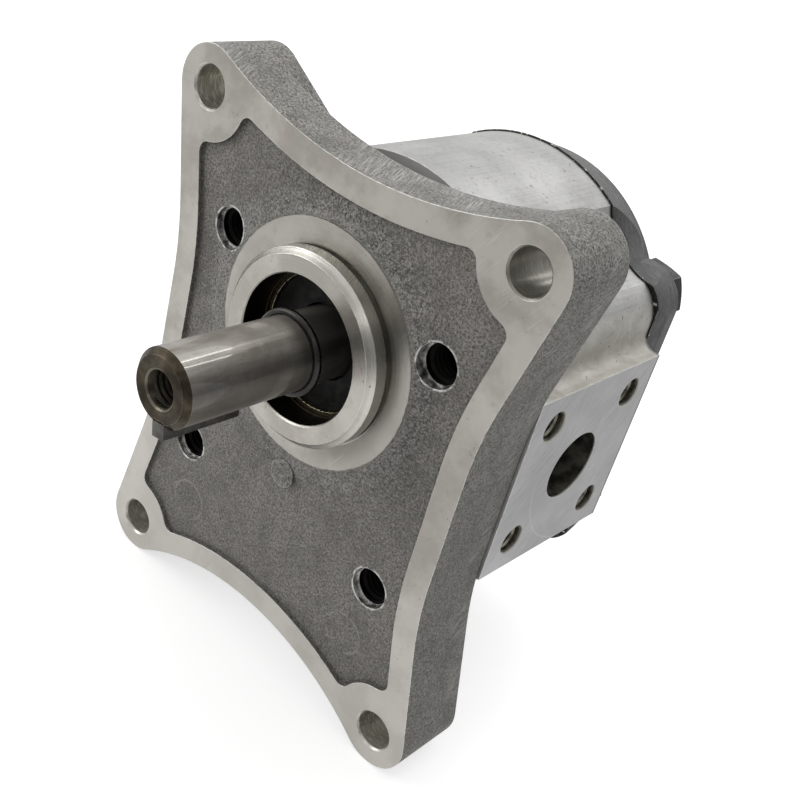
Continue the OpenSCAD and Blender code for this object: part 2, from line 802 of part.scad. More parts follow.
module drive_gear_shaft() {
    color([0.60, 0.59, 0.57]) difference() {
        union() {
            gear_on_journals(0, housing_y0 + journal_end_gap, housing_y1 - journal_end_gap);
            turned([
                [0, shaft_end_y], [shaft_r - shaft_chamfer, shaft_end_y],
                [shaft_r, shaft_end_y + shaft_chamfer], [shaft_r, mid_y - gear_w / 2],
                [0, mid_y - gear_w / 2]
            ]);
        }
        rod(end_thread_d / 2, shaft_end_y - cut, shaft_end_y + end_thread_depth);
        rod(end_thread_d / 2 + end_thread_chamfer + cut, shaft_end_y - cut,
            shaft_end_y + end_thread_chamfer, end_thread_d / 2);
        translate([0, -snap_ring_y, 0]) rotate([-90, 0, 0]) rotate_extrude()
            translate([snap_ring_r, 0]) circle(snap_wire_d / 2 + fit, $fn = 32);
        on_key_side() keyway();
    }
}

module driven_gear_shaft() {
    color([0.60, 0.59, 0.57]) translate([0, 0, -shaft_spacing])
        gear_on_journals(180 + tooth_pitch / 2, housing_y0 + journal_end_gap, housing_y1 - journal_end_gap);
}

module on_key_side() {
    rotate([0, -key_angle, 0]) children();
}

// A bar with a round inner end, standing out along -Z between two radii
module key_bar(w, y0, y1, r0, r1) {
    translate([0, 0, -r1]) {
        translate([-w / 2, y0, 0]) cube([w, y1 - w / 2 - y0, r1 - r0]);
        translate([0, y1 - w / 2, 0]) cylinder(d = w, h = r1 - r0, $fn = 48);
    }
}

module keyway() {
    key_bar(key_w, shaft_end_y - cut, shaft_end_y + key_l, shaft_r - keyway_d, shaft_r + cut);
}

module shaft_key() {
    color([0.16, 0.15, 0.15]) on_key_side()
        key_bar(key_w - 2 * fit, shaft_end_y, shaft_end_y + key_l - fit,
            shaft_r - keyway_d + gap_under_key, shaft_r + key_stand);
}

module shaft_snap_ring() {
    color([0.36, 0.36, 0.36]) difference() {
        translate([0, -snap_ring_y, 0]) rotate([-90, 0, 0]) rotate_extrude()
            translate([snap_ring_r, 0]) circle(snap_wire_d / 2, $fn = 32);
        along_y(-snap_ring_y - snap_wire_d, -snap_ring_y + snap_wire_d)
            rotate(-90) ring_gap(14, 2 * shaft_r);
    }
}

front_flange();
gear_housing();
rear_cover();
drive_gear_shaft();
driven_gear_shaft();
front_bearing_block();
rear_bearing_block();
drive_front_bush();
drive_rear_bush();
driven_front_bush();
driven_rear_bush();
front_housing_seal();
rear_housing_seal();
front_block_seal();
rear_block_seal();
front_backup_strips();
rear_backup_strips();
shaft_seal_case();
shaft_seal_lip();
seal_garter_spring();
seal_retaining_ring();
shaft_snap_ring();
shaft_key();
front_dowels();
rear_dowels();
tie_bolts();
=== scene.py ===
import math

import bmesh
import bpy
from mathutils import Matrix, Vector


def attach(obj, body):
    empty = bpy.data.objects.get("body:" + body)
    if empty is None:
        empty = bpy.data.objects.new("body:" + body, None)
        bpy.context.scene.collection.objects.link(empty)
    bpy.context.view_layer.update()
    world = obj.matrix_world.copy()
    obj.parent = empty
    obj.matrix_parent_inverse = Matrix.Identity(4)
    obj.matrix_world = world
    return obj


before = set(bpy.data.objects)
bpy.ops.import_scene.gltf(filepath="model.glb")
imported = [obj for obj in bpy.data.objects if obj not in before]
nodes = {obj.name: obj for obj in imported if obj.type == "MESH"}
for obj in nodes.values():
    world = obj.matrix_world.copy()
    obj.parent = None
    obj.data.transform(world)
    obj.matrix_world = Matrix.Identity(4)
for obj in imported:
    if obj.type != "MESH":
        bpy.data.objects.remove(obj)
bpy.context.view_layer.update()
scene = bpy.context.scene

MM = 0.001

# Places repeated from the CAD source, in mm. Y = 0 is the mounting face.
MID_Z = -15.0                   # halfway between the two shafts
SHAFT_SPACING = 30.0
MIDDLE_Z = -17.5                # middle of the four mounting holes
HOLE_X, HOLE_Z = 40.5, 54.0     # mounting holes, from x = 0 and MIDDLE_Z
HOLE_R, LOBE_R = 4.25, 8.4
BOLT_X, BOLT_Z = 28.5, 26.5     # tie bolts, from x = 0 and MID_Z
BOLT_R = 4.0
FOOT_R, SPIGOT_R, BORE_R = 25.5, 20.0, 15.0
SPIGOT_FRONT = -4.8
FLANGE_BACK, HOUSING_BACK = 18.0, 62.0
PORT_Y, PORT_FACE_X = 40.0, 42.5
SUCTION_R = 10.0
PORT_SCREW = 20.0 * math.sin(math.radians(45))    # port screws, from the port's axis
PORT_SCREW_R = 3.0
CHAMBER_R = 17.3
SHAFT_END, SHAFT_CHAMFER = -37.0, 1.2
END_THREAD_R = 3.6
GEAR_FRONT, GEAR_BACK = 32.0, 48.0
BORE_LINE_Y = 1.5               # a brown line round the bore, before the retaining ring
PIN_X, PIN_Z, PIN_R = 25.6, -56.3, 4.7    # marks of the mould's pins in the pocket

PHOTO_PX = 800
FOCAL_PX = 1144.56
SENSOR = 36.0


# Solved from the circles of the flange, ports and shaft in the photograph
def make_camera():
    cam = bpy.data.cameras.new("camera")
    ob = bpy.data.objects.new("camera", cam)
    scene.collection.objects.link(ob)
    right = Vector((0.71763, 0.65151, 0.24606))
    down = Vector((0.50348, -0.24124, -0.82965))
    forward = Vector((-0.48116, 0.71927, -0.50114))
    place = Matrix((right, -down, -forward)).transposed().to_4x4()
    place.translation = Vector((124.8, -151.5, 107.0)) * MM
    ob.matrix_world = place
    cam.sensor_width = SENSOR
    cam.lens = FOCAL_PX / PHOTO_PX * SENSOR
    cam.clip_start = 0.01
    cam.clip_end = 20
    scene.camera = ob


make_camera()

EDGE_SAMPLES = 6        # of the Bevel and Ambient Occlusion nodes


class Graph:
    """Builds a material's node graph. Positions are in mm, in the frame of the CAD."""

    def __init__(self, name):
        self.material = bpy.data.materials.new(name)
        self.material.use_nodes = True
        self.tree = self.material.node_tree
        self.shader = self.tree.nodes["Principled BSDF"]
        coords = self.tree.nodes.new("ShaderNodeTexCoord")
        self.mm = self.vector("MULTIPLY", coords.outputs["Object"], (1000, 1000, 1000))
        self.normal = coords.outputs["Normal"]
        self.x, self.y, self.z = self.split(self.mm)
        self.nx, self.ny, self.nz = self.split(self.normal)

    def put(self, socket, value):
        if isinstance(value, bpy.types.NodeSocket):
            self.tree.links.new(value, socket)
        elif hasattr(value, "__len__") and len(socket.default_value) == 4 and len(value) == 3:
            socket.default_value = (*value, 1)
        else:
            socket.default_value = value

    def split(self, vector):
        node = self.tree.nodes.new("ShaderNodeSeparateXYZ")
        self.put(node.inputs[0], vector)
        return node.outputs

    def vector(self, operation, a, b):
        node = self.tree.nodes.new("ShaderNodeVectorMath")
        node.operation = operation
        self.put(node.inputs[0], a)
        self.put(node.inputs[1], b)
        return node.outputs["Value"] if operation == "DOT_PRODUCT" else node.outputs[0]

    def combine(self, x, y, z):
        node = self.tree.nodes.new("ShaderNodeCombineXYZ")
        for socket, value in zip(node.inputs, (x, y, z)):
            self.put(socket, value)
        return node.outputs[0]

    def math(self, operation, a, b=0.0):
        node = self.tree.nodes.new("ShaderNodeMath")
        node.operation = operation
        self.put(node.inputs[0], a)
        self.put(node.inputs[1], b)
        return node.outputs[0]

    def step(self, value, low, high, out_low=0.0, out_high=1.0):
        """A soft step from out_low at low to out_high at high."""
        node = self.tree.nodes.new("ShaderNodeMapRange")
        node.interpolation_type = "SMOOTHSTEP"
        if low > high:
            low, high, out_low, out_high = high, low, out_high, out_low
        for socket, number in zip(node.inputs, (value, low, high, out_low, out_high)):
            self.put(socket, number)
        return node.outputs[0]

    def chain(self, operation, values):
        out = values[0]
        for value in values[1:]:
            out = self.math(operation, out, value)
        return out

    def times(self, *values):
        return self.chain("MULTIPLY", values)

    def add(self, *values):
        return self.chain("ADD", values)

    def minus(self, a, b):
        return self.math("SUBTRACT", a, b)

    def absolute(self, value):
        return self.math("ABSOLUTE", value)

    def both(self, *masks):
        """Where all the masks are."""
        return self.times(*masks)

    def most(self, *masks):
        """Where any of the masks is."""
        return self.chain("MAXIMUM", masks)

    def inverse(self, mask):
        return self.minus(1.0, mask)

    def apart(self, value, place):
        """The distance of a coordinate from a place."""
        return self.absolute(self.minus(value, place))

    def blend(self, mask, a, b):
        """Numbers or sockets a and b mixed by a mask."""
        node = self.tree.nodes.new("ShaderNodeMix")
        node.data_type = "FLOAT"
        self.put(node.inputs[0], mask)
        self.put(node.inputs[2], a)
        self.put(node.inputs[3], b)
        return node.outputs[0]

    def paint(self, mask, a, b):
        """Colours a and b mixed by a mask."""
        node = self.tree.nodes.new("ShaderNodeMix")
        node.data_type = "RGBA"
        self.put(node.inputs[0], mask)
        self.put(node.inputs[6], a)
        self.put(node.inputs[7], b)
        return node.outputs[2]

    def noise(self, scale, detail=3.0, rough=0.55, at=None, distortion=0.0):
        node = self.tree.nodes.new("ShaderNodeTexNoise")
        self.put(node.inputs["Vector"], self.mm if at is None else at)
        node.inputs["Scale"].default_value = scale
        node.inputs["Detail"].default_value = detail
        node.inputs["Roughness"].default_value = rough
        node.inputs["Distortion"].default_value = distortion
        return node.outputs[0]

    def lines(self, along, across, thin=5.0, length=0.12, level=0.60, soft=0.08):
        """Straight scratches: long in the direction where across is constant."""
        grain = self.noise(1.0, 2.0, 0.5, self.combine(
            self.times(across, thin), self.times(along, length), 0.0))
        return self.step(grain, level, level + soft)

    def slanted(self, a, b, degrees):
        """Coordinates along and across a direction in the plane of a and b."""
        c, s = math.cos(math.radians(degrees)), math.sin(math.radians(degrees))
        along = self.add(self.times(a, c), self.times(b, s))
        across = self.add(self.times(a, -s), self.times(b, c))
        return along, across

    def radius(self, a, b):
        return self.math("SQRT", self.add(self.times(a, a), self.times(b, b)))

    def angle(self, a, b):
        return self.math("ARCTAN2", a, b)

    def edges(self, radius):
        """How much the surface turns within a radius in mm, and the rounded normal."""
        bevel = self.tree.nodes.new("ShaderNodeBevel")
        bevel.samples = EDGE_SAMPLES
        bevel.inputs["Radius"].default_value = radius * MM
        geometry = self.tree.nodes.new("ShaderNodeNewGeometry")
        turn = self.vector("DOT_PRODUCT", bevel.outputs[0], geometry.outputs["Normal"])
        return self.step(turn, 0.995, 0.90), bevel.outputs[0]

    def openness(self, distance):
        """1 on open surfaces, towards 0 in corners within a distance in mm."""
        node = self.tree.nodes.new("ShaderNodeAmbientOcclusion")
        node.samples = EDGE_SAMPLES
        node.inputs["Distance"].default_value = distance * MM
        return node.outputs["AO"]

    def bump(self, height, normal=None):
        """A bump whose height is in mm."""
        node = self.tree.nodes.new("ShaderNodeBump")
        node.inputs["Strength"].default_value = 1.0
        node.inputs["Distance"].default_value = MM
        self.put(node.inputs["Height"], height)
        if normal is not None:
            self.put(node.inputs["Normal"], normal)
        return node.outputs[0]

    def finish(self, color, rough, metal, normal):
        self.put(self.shader.inputs["Base Color"], color)
        self.put(self.shader.inputs["Roughness"], rough)
        self.put(self.shader.inputs["Metallic"], metal)
        self.put(self.shader.inputs["Normal"], normal)
        return self.material


def sand_cast(g, dark, light, speck):
    """Colour and height of a sand-cast surface."""
    grain = g.noise(1.9, 4.0, 0.70)
    fine = g.noise(3.6, 2.0, 0.5)
    cloud = g.noise(0.06, 3.0, 0.5)
    tone = g.add(g.times(grain, 0.62), g.times(fine, 0.38))
    color = g.paint(g.step(tone, 0.41, 0.58), dark, light)
    color = g.paint(g.step(cloud, 0.40, 0.66, 0.0, 0.30), color, [c * 0.72 for c in dark])
    pits = g.step(g.noise(2.0, 3.0, 0.66), 0.43, 0.35)
    color = g.paint(g.both(pits, 0.9), color, [c * 0.25 for c in dark])
    specks = g.both(g.step(g.noise(2.7, 2.0, 0.5), 0.61, 0.68),
                    g.step(cloud, 0.35, 0.62, 0.35, 1.0))
    color = g.paint(g.both(g.step(g.noise(0.22, 4.0, 0.6), 0.44, 0.64), 0.30), color,
                    [c * 0.65 for c in dark])
    color = g.paint(g.both(specks, 0.42), color, speck)
    height = g.add(g.times(grain, 0.26), g.times(fine, 0.08),
                   g.times(g.noise(0.25, 2.0, 0.5), 0.25), g.times(pits, -0.05))
    return color, height, specks


def flange_material():
    g = Graph("cast_flange")
    ax = g.absolute(g.x)
    hz = g.apart(g.z, MIDDLE_Z)
    bz = g.apart(g.z, MID_Z)
    r_axis = g.radius(g.x, g.z)
    r_hole = g.radius(g.minus(ax, HOLE_X), g.minus(hz, HOLE_Z))
    r_bolt = g.radius(g.minus(ax, BOLT_X), g.minus(bz, BOLT_Z))

    facing = g.step(g.ny, -0.80, -0.95)
    ragged = g.times(g.minus(g.noise(0.9, 4.0, 0.65), 0.5), 0.7)
    foot_edge = g.add(r_axis, ragged)
    rim = g.both(facing, g.step(g.y, 0.22, 0.02), g.most(
        g.step(r_axis, FOOT_R + 1.0, FOOT_R + 1.5), g.step(foot_edge, FOOT_R + 0.1, FOOT_R - 0.3)))
    foot = g.both(g.step(foot_edge, FOOT_R + 0.1, FOOT_R - 0.3), g.step(g.y, 0.3, 0.1))
    spigot = g.both(g.step(r_axis, SPIGOT_R + 0.4, SPIGOT_R + 0.2), g.step(g.y, 0.9, 0.8))
    bore = g.both(g.step(r_axis, BORE_R + 1.2, BORE_R + 0.9),
                  g.step(g.y, SPIGOT_FRONT + 0.3, SPIGOT_FRONT + 0.5))
    hole = g.both(g.step(r_hole, HOLE_R + 0.65, HOLE_R + 0.55),
                  g.inverse(g.both(facing, g.step(r_hole, HOLE_R, HOLE_R + 0.1))))
    tapped = g.step(r_bolt, BOLT_R + 0.9, BOLT_R + 0.6)
    seat = g.both(g.step(g.ny, 0.8, 0.95), g.step(g.y, FLANGE_BACK - 0.3, FLANGE_BACK - 0.1))
    machined = g.most(rim, foot, spigot, seat)

    cast, cast_height, specks = sand_cast(g, (0.118, 0.114, 0.105), (0.345, 0.335, 0.309),
                                          (0.60, 0.59, 0.56))
    pocket = g.both(facing, g.step(g.y, 0.6, 0.9))
    cast = g.paint(g.both(pocket, 0.22), cast, (0.105, 0.094, 0.075))
    # painted shade: the cast surface darkened in corners and creases
    corner_shade = g.inverse(g.openness(2.2))
    cast = g.paint(g.both(g.step(corner_shade, 0.15, 0.75), 0.75), cast, (0.035, 0.032, 0.028))
    coarse = g.both(facing, g.step(r_axis, 40.0, FOOT_R + 1.5),
                    g.step(r_axis, FOOT_R - 0.1, FOOT_R + 0.3),
                    g.step(g.y, 0.15, 0.4), g.step(g.add(g.x, g.z), -6.0, 14.0))
    crumbs = g.step(g.noise(1.35, 3.0, 0.7), 0.47, 0.40)
    cast = g.paint(g.both(coarse, crumbs, 0.55), cast, (0.055, 0.052, 0.046))
    pin = g.radius(g.minus(ax, PIN_X), g.minus(g.z, PIN_Z))
    pin_edge = g.both(facing, g.step(g.apart(pin, PIN_R), 0.45, 0.1),
                      g.step(g.noise(0.35, 2.0), 0.36, 0.50))
    cast = g.paint(g.both(pin_edge, 0.45), cast, (0.36, 0.35, 0.33))

    # File marks across the side walls, near their back edges and on the top edge
    wall = g.step(g.absolute(g.ny), 0.35, 0.15)
    top = g.step(g.nz, 0.45, 0.7)
    along, across = g.slanted(g.x, g.y, 116)
    marks_top = g.most(g.lines(along, across, 4.6, 0.11, 0.53, 0.07),
                       g.lines(along, g.add(across, 31.0), 7.5, 0.20, 0.55, 0.06))
    where_top = g.most(
        g.both(g.step(g.x, -14, -4), g.step(g.x, 34, 22), g.step(g.noise(0.10, 2.0), 0.38, 0.55)),
        g.both(g.step(g.x, -30, -34), g.step(g.y, 5, 3)))
    along, across = g.slanted(g.z, g.y, 62)
    marks_side = g.most(g.lines(along, across, 4.6, 0.14, 0.56, 0.07),
                        g.lines(along, g.add(across, 17.0), 7.5, 0.22, 0.57, 0.06))
    where_side = g.both(g.step(g.y, 9.5, 14.5), g.step(g.noise(0.07, 2.0, 0.5), 0.42, 0.55))
    files = g.both(wall, g.most(
        g.both(top, marks_top, where_top), g.both(g.inverse(top), marks_side, where_side)))
    filed = g.both(wall, g.most(g.both(top, where_top), g.both(g.inverse(top), where_side)))
    cast = g.paint(g.both(filed, 0.25), cast, (0.17, 0.165, 0.155))
    # painted shade: the side walls on the right darker towards the bottom
    cast = g.paint(g.both(wall, g.step(g.x, 5.0, 15.0), g.step(g.z, 10.0, -40.0), 0.30), cast,
                   (0.10, 0.097, 0.09))
    cast = g.paint(g.both(files, 0.65), cast, (0.46, 0.45, 0.43))

    # Machined faces: turned rings round the shaft, a fine grain and long scratches elsewhere
    rings = g.noise(1.0, 3.0, 0.6, g.combine(
        g.times(r_axis, 5.5), g.times(g.y, 5.5), 0.0))
    cloud = g.noise(0.075, 4.0, 0.6)
    stain = g.noise(0.28, 4.0, 0.62, distortion=0.6)
    face = g.paint(g.step(cloud, 0.38, 0.62), (0.335, 0.323, 0.287), (0.450, 0.437, 0.398))
    face = g.paint(g.both(g.step(stain, 0.58, 0.72), 0.35), face, (0.27, 0.25, 0.20))
    blush = g.both(g.step(g.noise(0.16, 2.0, 0.5, g.vector("ADD", g.mm, (71, 13, 5))), 0.60, 0.70),
                   0.16)
    face = g.paint(blush, face, (0.50, 0.33, 0.36))
    # painted reflection: the rim lighter towards the bottom
    face = g.paint(g.both(rim, g.step(g.z, -25.0, -45.0), 0.35), face, (0.58, 0.567, 0.53))
    # painted shade: the rim darker on its right side, about its middle
    rim_right_shade = g.both(rim, g.step(g.x, 17.0, 23.0), g.step(g.z, -38.0, -26.0), g.step(g.z, 12.0, 0.0))
    face = g.paint(g.both(rim_right_shade, 0.40), face, (0.25, 0.24, 0.215))
    turned = g.both(g.most(foot, spigot), g.step(rings, 0.35, 0.68, -0.5, 0.5))
    face = g.paint(g.both(g.most(foot, spigot), g.step(rings, 0.38, 0.66, 0.0, 0.30)), face,
                   (0.42, 0.41, 0.385))
    face = g.paint(g.both(foot, g.inverse(spigot), 0.30), face, (0.24, 0.23, 0.205))
    # painted highlight: the spigot's chamfer and outer side lighter
    face = g.paint(g.both(spigot, g.inverse(facing),
                          g.step(r_axis, SPIGOT_R - 1.0, SPIGOT_R - 0.4), 0.45),
                   face, (0.62, 0.605, 0.57))
    # painted shade: the base ring darker on its right, next to the spigot
    face = g.paint(g.both(foot, g.inverse(spigot), g.step(r_axis, FOOT_R - 0.5, SPIGOT_R + 0.6),
                          g.step(g.x, 2.0, 14.0), 0.60),
                   face, (0.11, 0.105, 0.095))
    pits = g.both(g.step(g.noise(1.3, 3.0, 0.62), 0.335, 0.29),
                  g.step(g.noise(0.09, 2.0, 0.5), 0.46, 0.62))
    face = g.paint(g.both(pits, 0.85), face, (0.07, 0.065, 0.055))
    along, across = g.slanted(g.x, g.z, 57)
    scratch = g.lines(along, across, 5.5, 0.07, 0.68, 0.05)
    along, across = g.slanted(g.x, g.z, -34)
    scratch = g.both(g.most(scratch, g.lines(along, across, 7.0, 0.09, 0.69, 0.05)),
                     g.inverse(spigot))
    face = g.paint(g.both(scratch, 0.28), face, (0.62, 0.61, 0.59))
    smear = g.both(g.step(g.noise(0.45, 4.0, 0.7), 0.60, 0.70),
                   g.step(g.noise(0.035, 2.0, 0.5), 0.50, 0.62))
    face = g.paint(g.both(smear, 0.55), face, (0.12, 0.115, 0.10))

    # the bore is oily, and painted near black as painted shade
    oily_and_shaded = g.paint(g.step(g.noise(0.5, 3.0), 0.35, 0.7), (0.004, 0.004, 0.004),
                   (0.014, 0.013, 0.011))
    drilled = g.lines(g.angle(g.minus(ax, HOLE_X), g.minus(hz, HOLE_Z)),
                      g.times(g.y, 0.25), 9.0, 2.2, 0.45, 0.22)
    steel = g.paint(drilled, (0.44, 0.425, 0.37), (0.68, 0.66, 0.59))
    steel = g.paint(g.both(g.step(stain, 0.52, 0.66), 0.4), steel, (0.15, 0.138, 0.11))
    # painted shade: the walls of the upper right hole darker
    steel = g.paint(g.both(g.step(g.x, 0.0, 10.0), g.step(g.z, -10.0, 10.0), 0.70), steel,
                    (0.17, 0.162, 0.14))

    color = g.paint(machined, cast, face)
    color = g.paint(hole, color, steel)
    # tapped holes: a mouth of mixed light and dark metal, and deeper in painted shade, near black
    threaded = g.step(g.y, 2.5, 2.7)
    lip = g.paint(g.step(g.noise(0.55, 4.0, 0.65), 0.40, 0.62), (0.10, 0.097, 0.09),
                  (0.66, 0.65, 0.63))
    color = g.paint(tapped, color, g.paint(threaded, lip, (0.006, 0.006, 0.006)))
    color = g.paint(bore, color, oily_and_shaded)
    bore_line = g.both(bore, g.step(g.apart(g.y, BORE_LINE_Y), 0.17, 0.06))
    color = g.paint(g.both(bore_line, g.step(g.noise(0.4, 3.0), 0.30, 0.50)), color,
                    (0.24, 0.18, 0.105))

    edge, rounded = g.edges(0.22)
    worn = g.both(edge, g.step(g.openness(0.8), 0.55, 0.85), g.step(g.noise(0.6, 3.0), 0.33, 0.52),
                  g.inverse(bore))
    color = g.paint(g.both(worn, 0.85), color, (0.78, 0.77, 0.745))

    rough = g.blend(machined, g.add(0.62, g.times(specks, -0.18)),
                    g.blend(g.most(foot, spigot), g.step(cloud, 0.3, 0.7, 0.30, 0.42), 0.24))
    rough = g.blend(g.most(hole, tapped), rough, 0.30)
    rough = g.blend(bore, rough, 0.45)
    rough = g.blend(bore_line, rough, 0.30)
    rough = g.blend(g.most(files, worn), rough, 0.34)
    metal = g.blend(g.most(machined, hole, tapped, bore), 0.35, 0.95)
    metal = g.blend(hole, metal, 0.62)
    metal = g.blend(g.most(files, worn), metal, 0.95)

    height = g.both(cast_height, g.inverse(g.most(machined, hole, bore)))
    height = g.add(height, g.times(files, 0.05), g.times(turned, 0.010),
                   g.times(g.both(pits, machined), -0.05),
                   g.times(g.both(scratch, machined), -0.012),
                   g.times(g.both(drilled, hole), 0.01),
                   g.times(pin_edge, 0.10), g.times(g.both(coarse, crumbs), -0.09))
    return g.finish(color, rough, metal, g.bump(height, rounded))


def housing_material():
    g = Graph("housing_aluminium")
    ax = g.absolute(g.x)
    zc = g.minus(g.z, MID_Z)
    az = g.absolute(zc)
    yc = g.minus(g.y, PORT_Y)
    r_port = g.radius(yc, zc)
    side = g.step(g.absolute(g.nx), 0.90, 0.97)
    pad = g.both(side, g.step(ax, PORT_FACE_X - 0.3, PORT_FACE_X - 0.1))
    inside_port = g.both(g.step(ax, PORT_FACE_X - 0.2, PORT_FACE_X - 0.5),
                         g.step(r_port, SUCTION_R + 0.3, SUCTION_R + 0.1), g.step(ax, 20.0, 22.0))
    screws = g.radius(g.minus(g.absolute(yc), PORT_SCREW),
                      g.minus(az, PORT_SCREW))
    inside_screw = g.both(g.step(screws, PORT_SCREW_R + 0.5, PORT_SCREW_R + 0.3),
                          g.step(ax, PORT_FACE_X - 0.1, PORT_FACE_X - 0.4), g.step(ax, 28, 29))
    shoulder = g.both(g.step(ax, 36.0, 37.5), g.inverse(pad))
    end_face = g.step(g.absolute(g.ny), 0.8, 0.95)
    to_shaft = g.radius(g.x, g.minus(az, SHAFT_SPACING / 2))
    chamber = g.both(g.step(ax, 19.5, 18.0), g.step(to_shaft, CHAMBER_R + 1.7, CHAMBER_R + 0.9))

    # Skin: a smooth pale extrusion with long draw lines, specks and stains
    cloud = g.noise(0.05, 3.0, 0.55)
    skin = g.paint(g.step(cloud, 0.35, 0.68), (0.315, 0.313, 0.303), (0.43, 0.427, 0.415))
    around = g.add(g.x, g.times(g.z, -0.8))
    draw = g.noise(1.0, 3.0, 0.6, g.combine(g.times(around, 2.4), g.times(g.y, 0.05), 0.0))
    skin = g.paint(g.step(draw, 0.38, 0.66, 0.0, 0.28), skin, (0.50, 0.497, 0.488))
    mottle = g.noise(0.85, 4.0, 0.6)
    skin = g.paint(g.both(g.step(mottle, 0.55, 0.70), 0.28), skin, (0.28, 0.276, 0.26))
    specks = g.step(g.noise(1.15, 2.0, 0.5), 0.32, 0.27)
    skin = g.paint(g.both(specks, 0.8), skin, (0.10, 0.10, 0.095))
    along, across = g.slanted(g.y, around, 24)
    nick = g.lines(along, across, 2.2, 0.16, 0.70, 0.05)
    along, across = g.slanted(g.y, around, -48)
    nick = g.most(nick, g.lines(along, across, 2.6, 0.22, 0.70, 0.05))
    skin = g.paint(g.both(nick, 0.6), skin, (0.30, 0.295, 0.28))

    # The shoulders keep a warm oily film, thicker towards the port face
    film_and_shade = g.noise(0.18, 4.0, 0.6, distortion=0.4)
    warm = g.paint(g.step(film_and_shade, 0.36, 0.66), (0.41, 0.397, 0.357), (0.51, 0.497, 0.455))
    warm = g.paint(g.both(g.step(g.noise(0.7, 4.0, 0.6), 0.56, 0.72), 0.25), warm,
                   (0.24, 0.225, 0.185))
    low = g.both(g.step(az, 28.0, 21.5), g.step(g.noise(0.30, 4.0, 0.6), 0.34, 0.60))
    warm = g.paint(g.both(low, 0.25), warm, (0.26, 0.243, 0.20))
    creases = g.both(g.lines(g.y, g.z, 1.3, 0.14, 0.62, 0.06),
                     g.step(g.noise(0.09, 2.0, 0.5), 0.44, 0.58))
    warm = g.paint(g.both(creases, 0.35), warm, (0.20, 0.187, 0.15))
    warm = g.paint(g.both(specks, 0.8), warm, (0.09, 0.082, 0.065))

    # Port faces: fly-cut, brushed on the slant
    along, across = g.slanted(g.y, g.z, 40)
    brushed = g.noise(1.0, 4.0, 0.65, g.combine(
        g.times(across, 4.5), g.times(along, 0.10), 3.0))
    along2, across2 = g.slanted(g.y, g.z, 63)
    brushed2 = g.noise(1.0, 3.0, 0.6, g.combine(
        g.times(across2, 3.5), g.times(along2, 0.14), 7.0))
    plate = g.paint(g.step(g.noise(0.06, 3.0, 0.55), 0.38, 0.66), (0.40, 0.40, 0.402),
                    (0.50, 0.50, 0.503))
    plate = g.paint(g.step(brushed, 0.40, 0.64, 0.0, 0.6), plate, (0.62, 0.62, 0.624))
    plate = g.paint(g.step(brushed2, 0.56, 0.74, 0.0, 0.6), plate, (0.25, 0.25, 0.252))
    scored = g.most(g.lines(along2, across2, 2.2, 0.10, 0.69, 0.03),
                    g.lines(along, across, 3.0, 0.12, 0.70, 0.03))
    plate = g.paint(g.both(scored, 0.5), plate, (0.80, 0.80, 0.80))
    arc = g.apart(g.radius(g.minus(yc, 11.0), g.add(zc, -2.0)), 24.0)
    plate = g.paint(g.both(g.step(arc, 0.35, 0.1), g.step(zc, 2.0, -4.0), 0.22), plate,
                    (0.85, 0.85, 0.85))

    # inside the port and the gear chamber: an oily film, darkened as painted shade
    oily_and_shaded = g.paint(g.step(g.noise(0.35, 3.0), 0.35, 0.68), (0.040, 0.039, 0.032),
                   (0.16, 0.15, 0.12))
    # painted shade inside the port's screw holes, in a dark brassy tone
    brass_and_shade = g.paint(g.step(g.noise(0.8, 3.0), 0.35, 0.65), (0.028, 0.026, 0.02),
                    (0.11, 0.10, 0.075))

    color = g.paint(shoulder, skin, warm)
    color = g.paint(pad, color, plate)
    color = g.paint(end_face, color, (0.52, 0.515, 0.50))
    seam = g.both(g.step(g.y, HOUSING_BACK - 1.0, HOUSING_BACK - 0.2),
                  g.step(g.noise(0.5, 3.0), 0.30, 0.5, 0.5, 1.0))
    color = g.paint(g.both(seam, 0.75), color, (0.05, 0.047, 0.04))
    # painted shade: the housing darkened in corners and creases
    corner_shade = g.inverse(g.openness(1.6))
    color = g.paint(g.both(g.step(corner_shade, 0.25, 0.8), 0.6), color, (0.06, 0.055, 0.045))
    color = g.paint(g.most(inside_port, chamber), color, oily_and_shaded)
    color = g.paint(inside_screw, color, brass_and_shade)
    edge, rounded = g.edges(0.25)
    worn = g.both(edge, g.step(g.openness(0.8), 0.55, 0.85), g.step(g.noise(0.7, 3.0), 0.30, 0.5),
                  g.inverse(g.most(inside_port, inside_screw, chamber)))
    color = g.paint(g.both(worn, 0.6), color, (0.86, 0.86, 0.86))

    rough = g.blend(shoulder, g.step(mottle, 0.3, 0.7, 0.42, 0.56), 0.52)
    rough = g.blend(pad, rough, g.step(brushed, 0.3, 0.7, 0.26, 0.40))
    rough = g.blend(g.most(inside_port, chamber), rough, 0.25)
    metal = g.blend(shoulder, 0.55, 0.45)
    metal = g.blend(g.most(pad, worn), metal, 0.95)
    height = g.add(
        g.times(g.both(draw, g.inverse(pad)), 0.02),
        g.times(g.both(mottle, g.inverse(pad)), 0.05),
        g.times(g.both(g.noise(0.35, 3.0), shoulder), 0.22),
        g.times(specks, -0.04), g.times(nick, -0.03),
        g.times(g.both(brushed, pad), 0.018), g.times(g.both(scored, pad), -0.02))
    return g.finish(color, rough, metal, g.bump(height, rounded))


